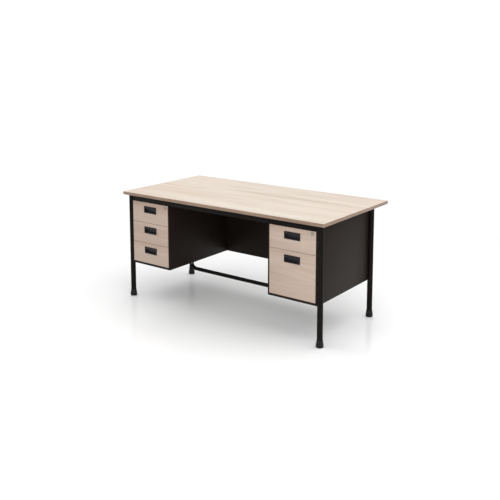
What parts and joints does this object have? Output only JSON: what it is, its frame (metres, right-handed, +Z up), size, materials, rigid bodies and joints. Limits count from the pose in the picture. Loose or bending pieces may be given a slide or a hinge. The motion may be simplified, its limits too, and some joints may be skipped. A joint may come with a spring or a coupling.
{
  "type": "teacher desk",
  "caption": "Steel-framed teacher desk with a wood-laminate top, hanging pedestals with sliding drawers, a modesty panel and a foot bar.",
  "frame": {"origin": "on the floor under the middle of the top", "axes": "+X along the desk, seen from the drawer side to the right; -Y towards the sitter and the drawer fronts; +Z up"},
  "size_m": [1.6, 0.8, 0.74],
  "materials": {
    "top_laminate": "satin",
    "edge_band": "satin",
    "front_laminate": "satin",
    "frame_coat": "semi-gloss powder coat",
    "panel_coat": "satin powder coat",
    "tray_coat": "satin powder coat",
    "foot_moulding": "satin",
    "pull_moulding": "satin",
    "zinc_steel": "bright zinc",
    "nickel": "satin nickel"
  },
  "bodies": {
    "desk": {"desk_top": "top_laminate", "edge_band": "edge_band", "front_rail": "frame_coat", "rear_rail": "frame_coat", "top_brackets": "frame_coat", "top_screws": "zinc_steel", "leg_front_left": "frame_coat", "leg_front_right": "frame_coat", "leg_rear_left": "frame_coat", "leg_rear_right": "frame_coat", "foot_front_left": "foot_moulding", "foot_front_right": "foot_moulding", "foot_rear_left": "foot_moulding", "foot_rear_right": "foot_moulding", "left_side_rail": "frame_coat", "right_side_rail": "frame_coat", "left_casing": "panel_coat", "right_casing": "panel_coat", "left_front_frame": "panel_coat", "right_front_frame": "panel_coat", "modesty_panel": "panel_coat", "foot_bar": "frame_coat", "foot_bar_plates": "frame_coat", "foot_bar_bolts": "zinc_steel", "left_top_runner_outer": "zinc_steel", "left_middle_runner_outer": "zinc_steel", "left_bottom_runner_outer": "zinc_steel", "right_top_runner_outer": "zinc_steel", "right_file_runner_outer": "zinc_steel"},
    "left_top_drawer": {"left_top_front": "front_laminate", "left_top_tray": "tray_coat", "left_top_pull": "pull_moulding", "left_top_runner_inner": "zinc_steel", "left_top_lock_housing": "nickel"},
    "left_top_runner": {"left_top_runner_middle": "zinc_steel"},
    "left_middle_drawer": {"left_middle_front": "front_laminate", "left_middle_tray": "tray_coat", "left_middle_pull": "pull_moulding", "left_middle_runner_inner": "zinc_steel"},
    "left_middle_runner": {"left_middle_runner_middle": "zinc_steel"},
    "left_bottom_drawer": {"left_bottom_front": "front_laminate", "left_bottom_tray": "tray_coat", "left_bottom_pull": "pull_moulding", "left_bottom_runner_inner": "zinc_steel"},
    "left_bottom_runner": {"left_bottom_runner_middle": "zinc_steel"},
    "right_top_drawer": {"right_top_front": "front_laminate", "right_top_tray": "tray_coat", "right_top_pull": "pull_moulding", "right_top_runner_inner": "zinc_steel", "right_top_lock_housing": "nickel"},
    "right_top_runner": {"right_top_runner_middle": "zinc_steel"},
    "right_file_drawer": {"right_file_front": "front_laminate", "right_file_tray": "tray_coat", "right_file_pull": "pull_moulding", "right_file_runner_inner": "zinc_steel", "right_file_bars": "zinc_steel"},
    "right_file_runner": {"right_file_runner_middle": "zinc_steel"},
    "left_top_lock": {"left_top_lock_cam": "nickel"},
    "right_top_lock": {"right_top_lock_cam": "nickel"}
  },
  "joints": [
    {"name": "left_top_slide", "type": "slide", "parent": "desk", "child": "left_top_drawer", "axis": [0, -1, 0], "range_m": [0, 0.4]},
    {"name": "left_top_runner_slide", "type": "slide", "parent": "desk", "child": "left_top_runner", "axis": [0, -1, 0], "range_m": [0, 0.2]},
    {"name": "left_middle_slide", "type": "slide", "parent": "desk", "child": "left_middle_drawer", "axis": [0, -1, 0], "range_m": [0, 0.4]},
    {"name": "left_middle_runner_slide", "type": "slide", "parent": "desk", "child": "left_middle_runner", "axis": [0, -1, 0], "range_m": [0, 0.2]},
    {"name": "left_bottom_slide", "type": "slide", "parent": "desk", "child": "left_bottom_drawer", "axis": [0, -1, 0], "range_m": [0, 0.4]},
    {"name": "left_bottom_runner_slide", "type": "slide", "parent": "desk", "child": "left_bottom_runner", "axis": [0, -1, 0], "range_m": [0, 0.2]},
    {"name": "right_top_slide", "type": "slide", "parent": "desk", "child": "right_top_drawer", "axis": [0, -1, 0], "range_m": [0, 0.4]},
    {"name": "right_top_runner_slide", "type": "slide", "parent": "desk", "child": "right_top_runner", "axis": [0, -1, 0], "range_m": [0, 0.2]},
    {"name": "right_file_slide", "type": "slide", "parent": "desk", "child": "right_file_drawer", "axis": [0, -1, 0], "range_m": [0, 0.5]},
    {"name": "right_file_runner_slide", "type": "slide", "parent": "desk", "child": "right_file_runner", "axis": [0, -1, 0], "range_m": [0, 0.25]},
    {"name": "left_top_lock_turn", "type": "hinge", "parent": "left_top_drawer", "child": "left_top_lock", "pos_m": [-0.4354, -0.372, 0.6635], "axis": [0, 1, 0], "range_deg": [0, 90]},
    {"name": "right_top_lock_turn", "type": "hinge", "parent": "right_top_drawer", "child": "right_top_lock", "pos_m": [0.7074, -0.372, 0.6635], "axis": [0, 1, 0], "range_deg": [0, 90]}
  ],
  "couplings": [
    {"joint": "left_top_runner_slide", "follows": "left_top_slide", "ratio": 0.5},
    {"joint": "left_middle_runner_slide", "follows": "left_middle_slide", "ratio": 0.5},
    {"joint": "left_bottom_runner_slide", "follows": "left_bottom_slide", "ratio": 0.5},
    {"joint": "right_top_runner_slide", "follows": "right_top_slide", "ratio": 0.5},
    {"joint": "right_file_runner_slide", "follows": "right_file_slide", "ratio": 0.5}
  ]
}
